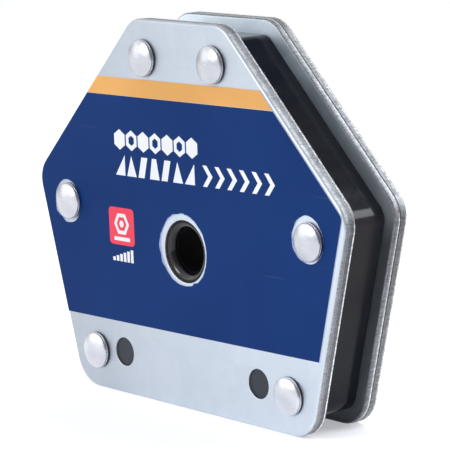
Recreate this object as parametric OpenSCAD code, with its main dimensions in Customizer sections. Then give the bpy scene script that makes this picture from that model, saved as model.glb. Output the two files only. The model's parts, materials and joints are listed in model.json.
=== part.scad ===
// Hexagonal welding magnet holder. Two laminated steel side plates are riveted
// over a moulded core frame that holds six ferrite blocks. The six straight
// edges of the plates are the working faces: 135 degrees at the top corners,
// 120 at the side corners and 105 at the bottom corners.
// Origin: axis of the through bore, half way through the core frame.
// +X right, +Z up, -Y towards the labelled front.

/* [Outline] */
// Height of the side plates over the two flat edges
plate_h = 100; // [96:1:104]
// Width between the two side corners before they are rounded
corner_w = 122.6; // [119:0.2:126]
// Height of the side corners above the bottom edge
corner_z = 56.6; // [55:0.2:58]
// Slope of the upper edges from horizontal
upper_angle = 45; // [44:0.5:46]
// Slope of the lower edges from horizontal
lower_angle = 75; // [74:0.5:76]
// Corner radius at the top edge
top_r = 8.5; // [6:0.5:10]
// Corner radius at the side corners
side_r = 7.5; // [5:0.5:9]
// Corner radius at the bottom edge
bottom_r = 9; // [6:0.5:10]

/* [Stack] */
// Thickness of one steel sheet
sheet_t = 1.75; // [1.6:0.05:2]
// Thickness of the outer sheet at the back
rear_cover_t = 2.15; // [1.6:0.05:2.5]
// Thickness of the core frame and the ferrite blocks
core_t = 13; // [11:0.5:15]
// Distance the core frame sits back from the plate edges
core_inset = 3.9; // [3.5:0.05:4.2]
// The same distance along the two lower side edges
core_low_inset = 3.4; // [3.2:0.05:4.2]
// Radius of the core frame at the side corners
core_side_r = 5; // [3:0.5:7]

/* [Bore] */
// Height of the bore axis above the bottom edge
bore_z = 41.4; // [41:0.2:42]
// Clear bore radius through the bushes and the frame
bore_r = 5.6; // [5.5:0.1:6]
// Radius of the bore hole in the steel sheets
bore_plate_r = 8.1; // [8:0.05:8.2]
// Depth of the bush lip below the plate face
lip_sink = 0.4; // [0.3:0.1:0.5]
// Rounding of the bush lip on its outer side
lip_r = 0.3; // [0.25:0.05:0.6]

/* [Rivets] */
// Half spacing of the top rivets
rivet_top_x = 13.7; // [13:0.1:14.4]
// Height of the top rivets
rivet_top_z = 90; // [89.5:0.1:90.5]
// Half spacing of the side rivets
rivet_side_x = 47.9; // [47.4:0.1:48.4]
// Height of the side rivets
rivet_side_z = 49.6; // [49:0.1:50]
// Half spacing of the bottom rivets
rivet_bottom_x = 38.6; // [38:0.1:39]
// Height of the bottom rivets
rivet_bottom_z = 10.1; // [9.6:0.1:10.6]
// Shank radius
shank_r = 2.5; // [2.3:0.05:2.5]
// Head radius
head_r = 4.9; // [4.6:0.1:5.2]
// Height of the straight rim of the head
head_rim_h = 1.15; // [0.9:0.05:1.4]
// Height of the head from the plate to its crown
head_h = 2.45; // [2.2:0.05:2.8]

/* [Locating pegs] */
// Half spacing of the moulded pegs
peg_x = 27; // [26.5:0.1:27.5]
// Height of the moulded pegs
peg_z = 11.25; // [11:0.05:11.5]
// Radius of the peg holes in the sheets
peg_hole_r = 3.8; // [3.6:0.05:3.9]
// Depth of the peg ends below the plate face
peg_sink = 0.45; // [0.2:0.05:0.8]

/* [Ferrite blocks] */
// Length of the two blocks behind the upper slopes
upper_block_l = 40; // [36:1:41]
// Length of the two blocks behind the lower slopes
lower_block_l = 26; // [22:1:26]
// Width of the slope blocks and of the bottom block
block_w = 20; // [18:0.5:20]
// Length of the bottom block
bottom_block_l = 40; // [36:1:41]
// Width of the top block
top_block_l = 18; // [16:0.5:18]
// Height of the top block
top_block_w = 14; // [12:0.5:14]

/* [Label] */
// Thickness of the printed film
label_t = 0.15; // [0.1:0.01:0.2]
// Height of the lower edge of the film
label_low = 19.65; // [19:0.05:21]
// Height of the upper edge of the film
label_high = 84.65; // [84:0.05:84.7]
// Angle at which the film is stuck on
label_skew = 0.7; // [0:0.1:0.8]

/* [Hidden] */

cover_steel = [0.80, 0.83, 0.87];
pole_steel = [0.72, 0.75, 0.79];
rivet_steel = [0.86, 0.87, 0.89];
label_blue = [0.14, 0.24, 0.47];
frame_black = [0.10, 0.10, 0.12];
bush_black = [0.08, 0.08, 0.09];
ferrite_grey = [0.24, 0.24, 0.26];

arc_fn = 96;       // facets of corners, holes and turned parts
profile_fn = 64;   // facets of the small rounds in turned profiles
overshoot = 0.5;   // how far a cutter runs past each face
left = -1;         // sign of X on each side
right = 1;

hole_gap = 0.08;   // radial room round each rivet shank
peg_gap = 0.06;    // radial room round each peg
bush_gap = 0.05;   // radial room round each bush
pocket_gap = 0.15; // room round each ferrite block
core_wall = 2.5;   // frame wall outside the ferrite blocks
core_min_r = 1.5;  // smallest radius of the top and bottom frame corners

front_t = 2 * sheet_t;             // both sheets at the front
rear_t = sheet_t + rear_cover_t;   // both sheets at the back
front_face = core_t / 2 + front_t; // distance of the front face from the mid-plane
rear_face = core_t / 2 + rear_t;   // distance of the rear face from the mid-plane

// Points on the front face are [x, height above the bottom edge].
// Outlines start at the bottom right corner and run anticlockwise seen from the
// front; side i runs from corner i to corner i + 1.
corner_x = corner_w / 2;
top_x = corner_x - (plate_h - corner_z) / tan(upper_angle);
bottom_x = corner_x - corner_z / tan(lower_angle);
outline = [[bottom_x, 0], [corner_x, corner_z], [top_x, plate_h],
           [-top_x, plate_h], [-corner_x, corner_z], [-bottom_x, 0]];

bore = [0, bore_z];
rivet_top = [rivet_top_x, rivet_top_z];
rivet_side = [rivet_side_x, rivet_side_z];
rivet_bottom = [rivet_bottom_x, rivet_bottom_z];
peg = [peg_x, peg_z];

// A right-hand point on the given side
function on_side(side, point) = [side * point[0], point[1]];
function corner_radii(bottom, side, top) = [bottom, side, top, top, side, bottom];
function unit(v) = v / norm(v);
function turned(v) = [-v[1], v[0]];
function wrapped(points, i) = points[(i + len(points)) % len(points)];

// Corner i of a convex outline: [first tangent point, second tangent point, arc centre]
function corner(points, radius, i) =
    let (back = unit(wrapped(points, i - 1) - points[i]),
         ahead = unit(wrapped(points, i + 1) - points[i]),
         half = acos(back * ahead) / 2,
         cut = radius / tan(half))
    [points[i] + back * cut,
     points[i] + ahead * cut,
     points[i] + unit(back + ahead) * (radius / sin(half))];

// Side i moved in by margins[i]: [point, direction]
function side_line(points, margins, i) =
    let (direction = unit(wrapped(points, i + 1) - points[i]))
    [points[i] + turned(direction) * margins[i], direction];

// Point where two lines meet
function crossing(first, second) =
    let (a = first[1], b = second[1], gap = second[0] - first[0])
    first[0] + a * ((gap[0] * b[1] - gap[1] * b[0]) / (a[0] * b[1] - a[1] * b[0]));

// Outline with every side moved in by its own margin
function inset(points, margins) =
    let (count = len(points))
    [for (i = [0 : count - 1])
        crossing(side_line(points, margins, (i - 1 + count) % count),
                 side_line(points, margins, i))];

// Convex outline with true circular corners
module rounded(points, radii) {
    corners = [for (i = [0 : len(points) - 1]) corner(points, radii[i], i)];
    polygon([for (item = corners) each [item[0], item[1]]]);
    for (i = [0 : len(points) - 1])
        translate(corners[i][2]) circle(r = radii[i], $fn = arc_fn);
}

// Stands a drawing of the front face upright, from depth y to y + thickness
module slab(y, thickness) {
    translate([0, y + thickness, -bore_z])
        rotate([90, 0, 0])
            linear_extrude(height = thickness) children();
}

// Round bar along Y at a front-face point, from depth y to y + length
module bar(point, radius, y, length) {
    translate([point[0], y + length, point[1] - bore_z])
        rotate([90, 0, 0]) cylinder(r = radius, h = length, $fn = arc_fn);
}

// Cutter for a hole right through a layer
module hole(point, radius, y, thickness) {
    bar(point, radius, y - overshoot, thickness + 2 * overshoot);
}

module rivet_holes(y, thickness) {
    for (point = [rivet_top, rivet_side, rivet_bottom], side = [left, right])
        hole(on_side(side, point), shank_r + hole_gap, y, thickness);
}

// ---- Steel sheets ----
module sheet(y, thickness) {
    difference() {
        slab(y, thickness) rounded(outline, corner_radii(bottom_r, side_r, top_r));
        hole(bore, bore_plate_r, y, thickness);
        rivet_holes(y, thickness);
        for (side = [left, right]) hole(on_side(side, peg), peg_hole_r, y, thickness);
    }
}

module front_cover_plate() { color(cover_steel) sheet(-front_face, sheet_t); }
module front_pole_plate()  { color(pole_steel) sheet(-front_face + sheet_t, sheet_t); }
module rear_pole_plate()   { color(pole_steel) sheet(core_t / 2, sheet_t); }
module rear_cover_plate()  { color(cover_steel) sheet(core_t / 2 + sheet_t, rear_cover_t); }

// ---- Label ----
// The film runs almost to the left edges, leaves a bare margin on the right, and
// is stuck on slightly askew.
label_margins = [1.45, 0.95, 0, 0.35, 0.35, 0]; // one for each side of the outline
label_radii = [1.5, 2.2, 1.5, 1.5, side_r - 0.4, 1.5];
label_band_x = corner_x + 5; // half length of the band, past both side corners
// Clearance holes round the bore and the side rivets, slightly off centre: [point, radius]
label_holes = [
    [bore + [-0.4, 0.2], 9.4],
    [on_side(left, rivet_side) + [-0.6, -0.2], 5.6],
    [rivet_side + [-0.55, 0.4], 5.7]
];

module label_shape() {
    intersection() {
        rounded(inset(outline, label_margins), label_radii);
        rotate(label_skew) translate([-label_band_x, label_low])
            square([2 * label_band_x, label_high - label_low]);
    }
}

module front_label() {
    y = -front_face - label_t;
    color(label_blue) difference() {
        slab(y, label_t) label_shape();
        for (item = label_holes) hole(item[0], item[1], y, label_t);
    }
}

// ---- Ferrite blocks ----
block_inset = core_inset + core_wall; // from the plate edges to the blocks
bottom_block_lift = 0.5;              // extra distance of the bottom block
rivet_clearance = 2.2;                // from the bottom rivet shanks to the lower blocks

// Outward and along directions of the right-hand slopes
upper_out = [sin(upper_angle), cos(upper_angle)];
upper_along = [cos(upper_angle), -sin(upper_angle)];
lower_out = [sin(lower_angle), -cos(lower_angle)];
lower_along = [cos(lower_angle), sin(lower_angle)];

// Distance from the origin of the outline to a block centre line, square to its slope
function slope_reach(out) = [corner_x, corner_z] * out - block_inset - block_w / 2;

// The upper blocks are centred between the top and side rivets; the lower ones
// start just above the bottom rivets.
upper_mid = ((rivet_top + rivet_side) / 2) * upper_along;
lower_start = rivet_bottom * lower_along + shank_r + rivet_clearance;
upper_centre = upper_out * slope_reach(upper_out) + upper_along * upper_mid;
lower_centre = lower_out * slope_reach(lower_out)
             + lower_along * (lower_start + lower_block_l / 2);
top_centre = [0, plate_h - block_inset - top_block_w / 2];
bottom_centre = [0, block_inset + bottom_block_lift + block_w / 2];

// With a gap it is the cutter for the pocket, which runs right through the frame
module block(centre, turn, length, width, gap) {
    depth = core_t + (gap > 0 ? 2 * overshoot : 0);
    translate([centre[0], 0, centre[1] - bore_z]) rotate([0, -turn, 0])
        translate([-length / 2 - gap, -depth / 2, -width / 2 - gap])
            cube([length + 2 * gap, depth, width + 2 * gap]);
}

module top_block(gap = 0) {
    block(top_centre, 0, top_block_l, top_block_w, gap);
}
module bottom_block(gap = 0) {
    block(bottom_centre, 0, bottom_block_l, block_w, gap);
}
module upper_block(side, gap = 0) {
    block(on_side(side, upper_centre), -side * upper_angle, upper_block_l, block_w, gap);
}
module lower_block(side, gap = 0) {
    block(on_side(side, lower_centre), side * lower_angle, lower_block_l, block_w, gap);
}

module magnet_top()         { color(ferrite_grey) top_block(); }
module magnet_bottom()      { color(ferrite_grey) bottom_block(); }
module magnet_upper_left()  { color(ferrite_grey) upper_block(left); }
module magnet_upper_right() { color(ferrite_grey) upper_block(right); }
module magnet_lower_left()  { color(ferrite_grey) lower_block(left); }
module magnet_lower_right() { color(ferrite_grey) lower_block(right); }

// ---- Core frame ----
core_margins = [core_low_inset, core_inset, core_inset,
                core_inset, core_low_inset, core_inset];
core_radii = corner_radii(max(bottom_r - core_inset, core_min_r), core_side_r,
                          max(top_r - core_inset, core_min_r));

// Moulded frame: pockets for the ferrite blocks, the middle of the bore, rivet
// passages, and two pegs that stand through the sheets on both sides
module core_frame() {
    peg_l = front_face + rear_face - 2 * peg_sink;
    color(frame_black) difference() {
        union() {
            slab(-core_t / 2, core_t) rounded(inset(outline, core_margins), core_radii);
            for (side = [left, right])
                bar(on_side(side, peg), peg_hole_r - peg_gap, -front_face + peg_sink, peg_l);
        }
        hole(bore, bore_r, -core_t / 2, core_t);
        rivet_holes(-core_t / 2, core_t);
        top_block(pocket_gap);
        bottom_block(pocket_gap);
        for (side = [left, right]) {
            upper_block(side, pocket_gap);
            lower_block(side, pocket_gap);
        }
    }
}

// ---- Bore bushes ----
// Bush that lines the sheets of one side: a short sleeve whose lip is a wide round
// that runs down into the bore
module bush(thickness) {
    length = thickness - lip_sink;
    outer_r = bore_plate_r - bush_gap;
    crest_r = outer_r - lip_r;   // where the lip is highest
    mouth_r = crest_r - bore_r;  // radius of the wide round
    overlap = 0.1;
    rotate_extrude($fn = arc_fn) {
        translate([bore_r, 0]) square([outer_r - bore_r, length - mouth_r]);
        translate([crest_r, 0]) square([lip_r, length - lip_r]);
        intersection() {
            translate([crest_r, length - mouth_r]) circle(r = mouth_r, $fn = profile_fn);
            translate([bore_r, length - mouth_r - overlap])
                square([mouth_r, mouth_r + 2 * overlap]);
        }
        intersection() {
            translate([crest_r, length - lip_r]) circle(r = lip_r, $fn = profile_fn);
            translate([crest_r, length - 2 * lip_r]) square([lip_r, 3 * lip_r]);
        }
    }
}

module front_bore_bush() {
    color(bush_black) translate([0, -core_t / 2, 0]) rotate([90, 0, 0]) bush(front_t);
}
module rear_bore_bush() {
    color(bush_black) translate([0, core_t / 2, 0]) rotate([-90, 0, 0]) bush(rear_t);
}

// ---- Rivets ----
roll_hole_r = 1.35;             // hollow in the rolled end
roll_base_h = 0.75;             // height of the flat ring round the hollow
roll_bead_r = 1.15;             // section radius of the rolled bead
roll_bead_x = shank_r + 0.15;   // bead centre from the rivet axis
roll_bead_h = 0.35;             // bead centre above the rear face

// Domed head, built upwards from the plate face
module rivet_head() {
    cap_h = head_h - head_rim_h;
    dome_r = (head_r * head_r + cap_h * cap_h) / (2 * cap_h);
    cylinder(r = head_r, h = head_rim_h, $fn = arc_fn);
    intersection() {
        translate([0, 0, head_h - dome_r]) sphere(r = dome_r, $fn = arc_fn);
        translate([0, 0, head_rim_h - 0.1]) cylinder(r = head_r, h = cap_h + 1, $fn = arc_fn);
    }
}

// Rolled end, built upwards from the plate face
module rivet_roll() {
    rotate_extrude($fn = arc_fn) {
        translate([roll_hole_r, 0]) square([shank_r - roll_hole_r + 0.1, roll_base_h]);
        intersection() {
            translate([roll_bead_x, roll_bead_h]) circle(r = roll_bead_r, $fn = profile_fn);
            translate([roll_hole_r, 0]) square([4, 3]); // keeps the part above the plate
        }
    }
}

// Semi-tubular rivet, front head at -Y, rolled end at +Y
module rivet(side, point) {
    translate([side * point[0], 0, point[1] - bore_z]) {
        translate([0, rear_face, 0]) rotate([90, 0, 0])
            cylinder(r = shank_r, h = front_face + rear_face, $fn = arc_fn);
        translate([0, -front_face, 0]) rotate([90, 0, 0]) rivet_head();
        translate([0, rear_face, 0]) rotate([-90, 0, 0]) rivet_roll();
    }
}

module rivet_top_left()     { color(rivet_steel) rivet(left, rivet_top); }
module rivet_top_right()    { color(rivet_steel) rivet(right, rivet_top); }
module rivet_side_left()    { color(rivet_steel) rivet(left, rivet_side); }
module rivet_side_right()   { color(rivet_steel) rivet(right, rivet_side); }
module rivet_bottom_left()  { color(rivet_steel) rivet(left, rivet_bottom); }
module rivet_bottom_right() { color(rivet_steel) rivet(right, rivet_bottom); }

front_label();
front_cover_plate();
front_pole_plate();
core_frame();
rear_pole_plate();
rear_cover_plate();
front_bore_bush();
rear_bore_bush();
magnet_top();
magnet_upper_left();
magnet_upper_right();
magnet_lower_left();
magnet_lower_right();
magnet_bottom();
rivet_top_left();
rivet_top_right();
rivet_side_left();
rivet_side_right();
rivet_bottom_left();
rivet_bottom_right();
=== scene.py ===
"""A hexagonal magnet block: a moulded core holding ferrite magnets, clamped by six rivets between
zinc-plated steel sheets, with a bushed bore and a printed film on the front.

The bore axis is Y through the origin. The front faces -Y, +X is right as seen from the front and
the block stands on its flat bottom edge, with +Z up. Lengths are in mm unless noted.
"""
import json
import math

import bpy
import numpy as np
from mathutils import Matrix, Vector, geometry


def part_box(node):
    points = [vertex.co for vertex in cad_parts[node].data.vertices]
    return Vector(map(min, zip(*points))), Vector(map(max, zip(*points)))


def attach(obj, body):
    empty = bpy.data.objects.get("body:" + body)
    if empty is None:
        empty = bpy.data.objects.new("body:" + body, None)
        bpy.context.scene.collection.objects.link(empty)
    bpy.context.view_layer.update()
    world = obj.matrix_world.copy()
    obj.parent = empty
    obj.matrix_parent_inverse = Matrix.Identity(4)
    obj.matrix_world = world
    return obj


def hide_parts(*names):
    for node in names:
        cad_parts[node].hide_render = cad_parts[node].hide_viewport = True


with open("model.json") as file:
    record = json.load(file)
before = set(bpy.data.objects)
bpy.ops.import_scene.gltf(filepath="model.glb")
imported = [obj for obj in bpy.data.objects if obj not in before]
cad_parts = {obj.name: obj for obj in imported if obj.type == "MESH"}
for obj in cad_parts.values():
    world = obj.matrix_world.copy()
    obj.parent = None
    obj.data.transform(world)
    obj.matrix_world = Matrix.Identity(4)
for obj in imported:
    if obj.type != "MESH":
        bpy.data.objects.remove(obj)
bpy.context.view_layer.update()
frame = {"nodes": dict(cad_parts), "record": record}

MM = 0.001

# ---------------------------------------------------------------- driving dimensions
mounts = {mount["name"]: mount for mount in frame["record"]["mounts"]}
EDGES = ["bottom_edge", "lower_right_edge", "upper_right_edge", "top_edge",
         "upper_left_edge", "lower_left_edge"]
RIVETS = ["rivet_top_left", "rivet_top_right", "rivet_side_left", "rivet_side_right",
          "rivet_bottom_left", "rivet_bottom_right"]
MAGNETS = ["magnet_top", "magnet_bottom", "magnet_upper_left", "magnet_upper_right",
           "magnet_lower_left", "magnet_lower_right"]


def edge_line(name):
    """The line of a straight edge in XZ: its normal and its distance from the bore axis."""
    place, axis = mounts[name]["pos_m"], mounts[name]["axis"]
    return np.array([axis[0], axis[2]]), (axis[0] * place[0] + axis[2] * place[2]) / MM


def meet(first, second):
    return np.linalg.solve(np.array([first[0], second[0]]), np.array([first[1], second[1]]))


def depths(piece):
    """Front and back of a CAD piece along Y."""
    lo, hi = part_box(piece)
    return lo.y / MM, hi.y / MM


def centre(piece):
    lo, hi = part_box(piece)
    return (lo.x + hi.x) / 2 / MM, (lo.z + hi.z) / 2 / MM


lines = [edge_line(name) for name in EDGES]
# sharp corners, anticlockwise: bottom right, right, top right, top left, left, bottom left
CORNERS = [meet(lines[i], lines[(i + 1) % 6]) for i in range(6)]
SHEET_RADII = [9.0, 7.5, 8.5, 8.5, 7.5, 9.0]
BOTTOM = CORNERS[0][1]

FRONT_COVER = depths("front_cover_plate")
FRONT_POLE = depths("front_pole_plate")
REAR_POLE = depths("rear_pole_plate")
REAR_COVER = depths("rear_cover_plate")
FRONT = FRONT_COVER[0]
REAR = REAR_COVER[1]

RIVET_PLACES = {name: centre(name) for name in RIVETS}
RIVET_HOLE_R = 2.58
PEG_X, PEG_Z = 27.0, BOTTOM + 11.25
PEG_R, PEG_HOLE_R = 3.74, 3.8
BORE_R = mounts["bore"]["dims"]["r_mm"]
BUSH_R, BUSH_HOLE_R = 8.05, 8.1


# ---------------------------------------------------------------- outlines in XZ
def unit(vector):
    return vector / np.linalg.norm(vector)


def outward(side):
    """Unit normal on the right of a side, which is outward when going anticlockwise."""
    along = unit(side)
    return np.array([along[1], -along[0]])


def rounded_outline(corners, radii, arc_steps=18, side_step=2.5):
    """Points and outward normals round a convex outline with circular corners."""
    corners = [np.array(corner, float) for corner in corners]
    count = len(corners)
    arcs = []
    for i, (corner, radius) in enumerate(zip(corners, radii)):
        before = unit(corners[i - 1] - corner)
        after = unit(corners[(i + 1) % count] - corner)
        half = math.acos(np.clip(before @ after, -1, 1)) / 2
        reach = radius / math.tan(half)
        middle = corner + unit(before + after) * radius / math.sin(half)
        arcs.append((corner + before * reach, corner + after * reach, middle, radius))
    points, normals = [], []
    for i, (start, end, middle, radius) in enumerate(arcs):
        first = math.atan2(*(start - middle)[::-1])
        sweep = (math.atan2(*(end - middle)[::-1]) - first) % (2 * math.pi)
        for k in range(arc_steps + 1):
            angle = first + sweep * k / arc_steps
            normal = np.array([math.cos(angle), math.sin(angle)])
            points.append(middle + radius * normal)
            normals.append(normal)
        side = arcs[(i + 1) % count][0] - end
        steps = max(int(np.linalg.norm(side) / side_step), 1)
        for k in range(1, steps):
            points.append(end + side * k / steps)
            normals.append(outward(side))
    return np.array(points), np.array(normals)


def angles_round(count):
    return np.arange(count) / count * 2 * math.pi


def directions(angles):
    return np.stack([np.cos(angles), np.sin(angles)], 1)


def circle(x, z, radius, count):
    """Points and outward normals of a circle."""
    normals = directions(angles_round(count))
    return np.array([x, z]) + radius * normals, normals


def inside(points, outline):
    """Which points lie inside a closed outline, by counting crossings."""
    x, z = points[:, 0][:, None], points[:, 1][:, None]
    x0, z0 = outline[:, 0][None], outline[:, 1][None]
    x1, z1 = np.roll(outline[:, 0], -1)[None], np.roll(outline[:, 1], -1)[None]
    spans = (z0 > z) != (z1 > z)
    # level sides divide by zero, but spans leaves them out
    with np.errstate(divide="ignore", invalid="ignore"):
        crossing_x = (x1 - x0) * (z - z0) / (z1 - z0) + x0
    return ((spans & (x < crossing_x)).sum(1) % 2) == 1


def inset(corners, amounts):
    """An anticlockwise polygon moved in by one amount, or by one per side i to i + 1."""
    corners = np.array(corners, float)
    count = len(corners)
    amounts = np.full(count, amounts, float)
    moved = []
    for i, corner in enumerate(corners):
        before = outward(corner - corners[i - 1])
        after = outward(corners[(i + 1) % count] - corner)
        limits = [before @ corner - amounts[i - 1], after @ corner - amounts[i]]
        moved.append(np.linalg.solve(np.array([before, after]), np.array(limits)))
    return np.array(moved)


# ---------------------------------------------------------------- mesh builder
def round_profile(across, deep, steps):
    """Edge rounding from the flat face to the wall.

    Rows are the inset, the depth below the face, and the normal's shares across and along Y.
    """
    rows = []
    for k in range(steps + 1):
        angle = k / steps * math.pi / 2
        sine, cosine = math.sin(angle), math.cos(angle)
        rows.append((across * (1 - sine), deep * (1 - cosine),
                     sine / across * deep, cosine / deep * across))
    return rows


def closed_edges(start, count):
    return [(start + i, start + (i + 1) % count) for i in range(count)]


class MeshBuilder:
    """Collects vertices, their normals, and faces with a material index."""

    def __init__(self):
        self.vertices, self.normals = [], []
        self.faces, self.materials = [], []

    def flat(self, loop):
        """The XZ points of a loop of vertex indices."""
        return np.array([(self.vertices[i][0], self.vertices[i][2]) for i in loop])

    def add_face(self, face, material, flip):
        self.faces.append(face[::-1] if flip else face)
        self.materials.append(material)

    def ring(self, points, y, facing, tilt):
        """A loop at depth y. tilt is the normal's share along facing and its share along Y."""
        start = len(self.vertices)
        for point, way in zip(points, facing):
            self.vertices.append((point[0], y, point[1]))
            normal = unit(np.array([way[0] * tilt[0], tilt[1], way[1] * tilt[0]]))
            self.normals.append(tuple(normal))
        return list(range(start, len(self.vertices)))

    def rounding(self, points, facing, face_y, roll, steps, back=False, recess=0.0):
        """Rings over a rounded edge, from front to back. roll is the rounding's (inset, depth)."""
        sign = 1 if back else -1
        profile = round_profile(*roll, steps)
        if back:
            profile.reverse()
        return [self.ring(points - facing * (inward + recess), face_y - sign * deep, facing,
                          (across, sign * along))
                for inward, deep, across, along in profile]

    def bridge(self, first, second, material, flip):
        for i, j in closed_edges(0, len(first)):
            self.add_face((first[i], first[j], second[j], second[i]), material, flip)

    def skin(self, rings, materials, flip):
        """Bridges each ring to the next, with one material per band."""
        for first, second, material in zip(rings, rings[1:], materials):
            self.bridge(first, second, material, flip)

    def fan(self, ring, middle, y, facing, material):
        """Closes a ring to a middle point. facing is -1 towards the front, 1 towards the back."""
        tip = len(self.vertices)
        self.vertices.append((middle[0], y, middle[1]))
        self.normals.append((0.0, facing, 0.0))
        for i, j in closed_edges(0, len(ring)):
            self.add_face((ring[i], ring[j], tip), material, facing > 0)

    def fill(self, loops, front, material=0, borders=(), segments=(), region=None):
        """Triangulates between loops[0] and the other loops.

        The triangles follow borders (closed) and segments (open), both of XZ points.
        region gives the material indices from triangle centres.
        """
        known, edges = [], []
        for loop in loops:
            edges += closed_edges(len(known), len(loop))
            known += loop
        points = [Vector(point) for point in self.flat(known)]
        y = self.vertices[known[0]][1]
        for border in borders:
            edges += closed_edges(len(points), len(border))
            points += [Vector(point) for point in border]
        for segment in segments:
            edges += [(len(points) + i, len(points) + i + 1) for i in range(len(segment) - 1)]
            points += [Vector(point) for point in segment]
        made, _, triangles, origins, _, _ = geometry.delaunay_2d_cdt(
            points, edges, [], 0, 1e-5, True)
        made = np.array([(point.x, point.y) for point in made])
        indices = []
        for point, origin in zip(made, origins):
            old = [i for i in origin if i < len(known)]
            if old:
                indices.append(known[old[0]])
            else:
                indices.append(len(self.vertices))
                self.vertices.append((point[0], y, point[1]))
                self.normals.append((0.0, -1.0 if front else 1.0, 0.0))
        triangles = [triangle for triangle in triangles if len(triangle) == 3]
        centres = np.array([made[list(triangle)].mean(0) for triangle in triangles])
        keep = inside(centres, self.flat(loops[0]))
        for loop in loops[1:]:
            keep &= ~inside(centres, self.flat(loop))
        materials = region(centres) if region else np.full(len(triangles), material)
        for triangle, kept, index in zip(triangles, keep, materials):
            if not kept:
                continue
            a, b, c = (made[i] for i in triangle)
            # anticlockwise in XZ faces the front
            faces_front = (b[0] - a[0]) * (c[1] - a[1]) - (b[1] - a[1]) * (c[0] - a[0]) > 0
            self.add_face(tuple(indices[i] for i in triangle), int(index), faces_front != front)

    def build(self, name, materials):
        """Makes the object, which stands in for the CAD piece of the same name."""
        mesh = bpy.data.meshes.new(name)
        mesh.from_pydata([tuple(place) for place in np.array(self.vertices) * MM], [], self.faces)
        for material in materials:
            mesh.materials.append(material)
        mesh.polygons.foreach_set("material_index", self.materials)
        mesh.polygons.foreach_set("use_smooth", [True] * len(self.faces))
        mesh.update()
        mesh.normals_split_custom_set_from_vertices([tuple(normal) for normal in self.normals])
        made = bpy.data.objects.new(name, mesh)
        bpy.context.scene.collection.objects.link(made)
        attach(made, "root")
        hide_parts(name)


# ---------------------------------------------------------------- node helpers
class Nodes:
    """Short calls for the nodes of one tree. Values may be numbers, tuples or sockets."""

    def __init__(self, tree):
        self.tree = tree

    def node(self, kind, **settings):
        made = self.tree.nodes.new(kind)
        for key, value in settings.items():
            setattr(made, key, value)
        return made

    def feed(self, socket, value):
        if isinstance(value, bpy.types.NodeSocket):
            self.tree.links.new(value, socket)
        else:
            socket.default_value = value

    def maths(self, operation, first, second):
        node = self.node("ShaderNodeMath", operation=operation)
        self.feed(node.inputs[0], first)
        self.feed(node.inputs[1], second)
        return node.outputs[0]

    def remap(self, value, span, to=(0, 1), smooth=False):
        """Maps span to another range, clamped."""
        node = self.node("ShaderNodeMapRange")
        if smooth:
            node.interpolation_type = "SMOOTHSTEP"
        self.feed(node.inputs["Value"], value)
        for key, number in zip(("From Min", "From Max", "To Min", "To Max"), (*span, *to)):
            node.inputs[key].default_value = number
        return node.outputs["Result"]

    def measure(self, operation, vector, constant):
        """A single number from a vector and a constant vector."""
        node = self.node("ShaderNodeVectorMath", operation=operation)
        self.feed(node.inputs[0], vector)
        node.inputs[1].default_value = constant
        return node.outputs["Value"]

    def mix_float(self, factor, first, second):
        node = self.node("ShaderNodeMix", data_type="FLOAT")
        for index, value in ((0, factor), (2, first), (3, second)):
            self.feed(node.inputs[index], value)
        return node.outputs[0]


class Surface(Nodes):
    """A new material whose textures follow object coordinates. Colours are linear RGB tuples."""

    def __init__(self, name):
        self.material = bpy.data.materials.new(name)
        self.material.use_nodes = True
        super().__init__(self.material.node_tree)
        self.place = self.node("ShaderNodeTexCoord").outputs["Object"]

    def mapped(self, stretch=(1, 1, 1), turn=(0, 0, 0), at=(0, 0, 0)):
        node = self.node("ShaderNodeMapping")
        node.inputs["Scale"].default_value = stretch
        node.inputs["Rotation"].default_value = turn
        node.inputs["Location"].default_value = at
        self.feed(node.inputs["Vector"], self.place)
        return node.outputs["Vector"]

    def noise(self, scale, detail=2, rough=0.5, **mapping):
        vector = self.mapped(**mapping)
        node = self.node("ShaderNodeTexNoise")
        node.inputs["Scale"].default_value = scale
        node.inputs["Detail"].default_value = detail
        node.inputs["Roughness"].default_value = rough
        self.feed(node.inputs["Vector"], vector)
        return node.outputs["Fac"]

    def cells(self, scale):
        """One random number for each Voronoi cell."""
        node = self.node("ShaderNodeTexVoronoi")
        node.inputs["Scale"].default_value = scale
        self.feed(node.inputs["Vector"], self.mapped())
        split = self.node("ShaderNodeSeparateColor")
        self.feed(split.inputs[0], node.outputs["Color"])
        return split.outputs[0]

    def axes(self):
        node = self.node("ShaderNodeSeparateXYZ")
        self.feed(node.inputs[0], self.place)
        return node.outputs

    def stops(self, value, pairs):
        """Piecewise value over a length: pairs are (mm, value), lowest first."""
        total = pairs[0][1]
        for (start, low), (end, high) in zip(pairs, pairs[1:]):
            part = self.remap(value, span=(start * MM, end * MM), to=(0, high - low), smooth=True)
            total = self.maths("ADD", total, part)
        return total

    def mix(self, factor, first, second):
        node = self.node("ShaderNodeMix", data_type="RGBA")
        self.feed(node.inputs[0], factor)
        for index, colour in ((6, first), (7, second)):
            self.feed(node.inputs[index], (*colour, 1) if isinstance(colour, tuple) else colour)
        return node.outputs[2]

    def scaled(self, colour, factor):
        node = self.node("ShaderNodeVectorMath", operation="SCALE")
        self.feed(node.inputs[0], colour)
        self.feed(node.inputs["Scale"], factor)
        return node.outputs[0]

    def bump(self, height, strength, distance, over=None):
        """A bump normal, laid over an earlier one if given. distance is in metres."""
        node = self.node("ShaderNodeBump")
        node.inputs["Strength"].default_value = strength
        node.inputs["Distance"].default_value = distance
        self.feed(node.inputs["Height"], height)
        if over is not None:
            self.feed(node.inputs["Normal"], over)
        return node.outputs["Normal"]

    def finish(self, **inputs):
        shader = self.tree.nodes["Principled BSDF"]
        for key, value in inputs.items():
            self.feed(shader.inputs[key.replace("_", " ")], value)
        return self.material


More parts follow.
